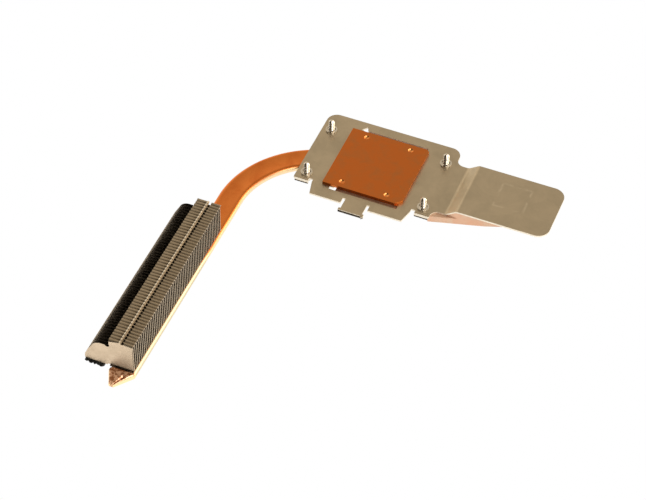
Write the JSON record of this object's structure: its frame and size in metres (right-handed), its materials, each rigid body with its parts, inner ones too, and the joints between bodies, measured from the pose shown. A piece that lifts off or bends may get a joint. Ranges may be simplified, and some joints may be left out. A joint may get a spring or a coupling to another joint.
{
  "type": "laptop heatsink",
  "caption": "Laptop heatsink with a copper contact block on a sprung steel plate, a bent flattened heat pipe and a stack of stamped fins, lying contact side up.",
  "frame": {"origin": "centre of the contact block's face", "axes": "+Z leaves the contact face, +X runs towards the plate's extension, +Y runs away from the fins' pinched pipe end"},
  "size_m": [0.1124, 0.1321, 0.0141],
  "materials": {
    "plate_steel": "dull nickel-plated spring steel",
    "block_copper": "bare copper, lightly tarnished",
    "pipe_copper": "bare copper, drawn and flattened",
    "wick_copper": "sintered copper powder",
    "foam": "black foam gasket",
    "screw_steel": "bright nickel plate",
    "clip_steel": "bright nickel plate",
    "fin_metal": "thin stamped sheet, soldered"
  },
  "bodies": {
    "base": {"plate": "plate_steel", "contact_block": "block_copper", "heat_pipe": "pipe_copper", "pipe_end_near": "pipe_copper", "pipe_end_far": "pipe_copper", "pipe_wick": "wick_copper", "foam_strip": "foam", "fin_front": "fin_metal", "fin_pair_01": "fin_metal", "fin_pair_02": "fin_metal", "fin_pair_03": "fin_metal", "fin_pair_04": "fin_metal", "fin_pair_05": "fin_metal", "fin_pair_06": "fin_metal", "fin_pair_07": "fin_metal", "fin_pair_08": "fin_metal", "fin_pair_09": "fin_metal", "fin_pair_10": "fin_metal", "fin_pair_11": "fin_metal", "fin_pair_12": "fin_metal", "fin_pair_13": "fin_metal", "fin_pair_14": "fin_metal", "fin_pair_15": "fin_metal", "fin_pair_16": "fin_metal", "fin_pair_17": "fin_metal", "fin_pair_18": "fin_metal", "fin_pair_19": "fin_metal", "fin_pair_20": "fin_metal", "fin_pair_21": "fin_metal", "fin_pair_22": "fin_metal", "fin_pair_23": "fin_metal", "fin_pair_24": "fin_metal", "fin_pair_25": "fin_metal", "fin_pair_26": "fin_metal", "fin_rear": "fin_metal"},
    "clip_rear_left": {"clip_rear_left": "clip_steel"},
    "screw_rear_left": {"screw_rear_left": "screw_steel"},
    "clip_rear_right": {"clip_rear_right": "clip_steel"},
    "screw_rear_right": {"screw_rear_right": "screw_steel"},
    "clip_front_left": {"clip_front_left": "clip_steel"},
    "screw_front_left": {"screw_front_left": "screw_steel"},
    "clip_front_right": {"clip_front_right": "clip_steel"},
    "screw_front_right": {"screw_front_right": "screw_steel"}
  },
  "joints": [
    {"name": "lift_rear_left", "type": "slide", "parent": "base", "child": "clip_rear_left", "axis": [0, 0, 1], "range_m": [0, 0.00055]},
    {"name": "turn_rear_left", "type": "hinge", "parent": "clip_rear_left", "child": "screw_rear_left", "pos_m": [-0.0201, 0.0107, -0.001], "axis": [0, 0, 1], "continuous": true},
    {"name": "lift_rear_right", "type": "slide", "parent": "base", "child": "clip_rear_right", "axis": [0, 0, 1], "range_m": [0, 0.00055]},
    {"name": "turn_rear_right", "type": "hinge", "parent": "clip_rear_right", "child": "screw_rear_right", "pos_m": [0.0201, 0.0107, -0.001], "axis": [0, 0, 1], "continuous": true},
    {"name": "lift_front_left", "type": "slide", "parent": "base", "child": "clip_front_left", "axis": [0, 0, 1], "range_m": [0, 0.00055]},
    {"name": "turn_front_left", "type": "hinge", "parent": "clip_front_left", "child": "screw_front_left", "pos_m": [-0.0201, -0.0107, -0.001], "axis": [0, 0, 1], "continuous": true},
    {"name": "lift_front_right", "type": "slide", "parent": "base", "child": "clip_front_right", "axis": [0, 0, 1], "range_m": [0, 0.00055]},
    {"name": "turn_front_right", "type": "hinge", "parent": "clip_front_right", "child": "screw_front_right", "pos_m": [0.0201, -0.0107, -0.001], "axis": [0, 0, 1], "continuous": true}
  ]
}
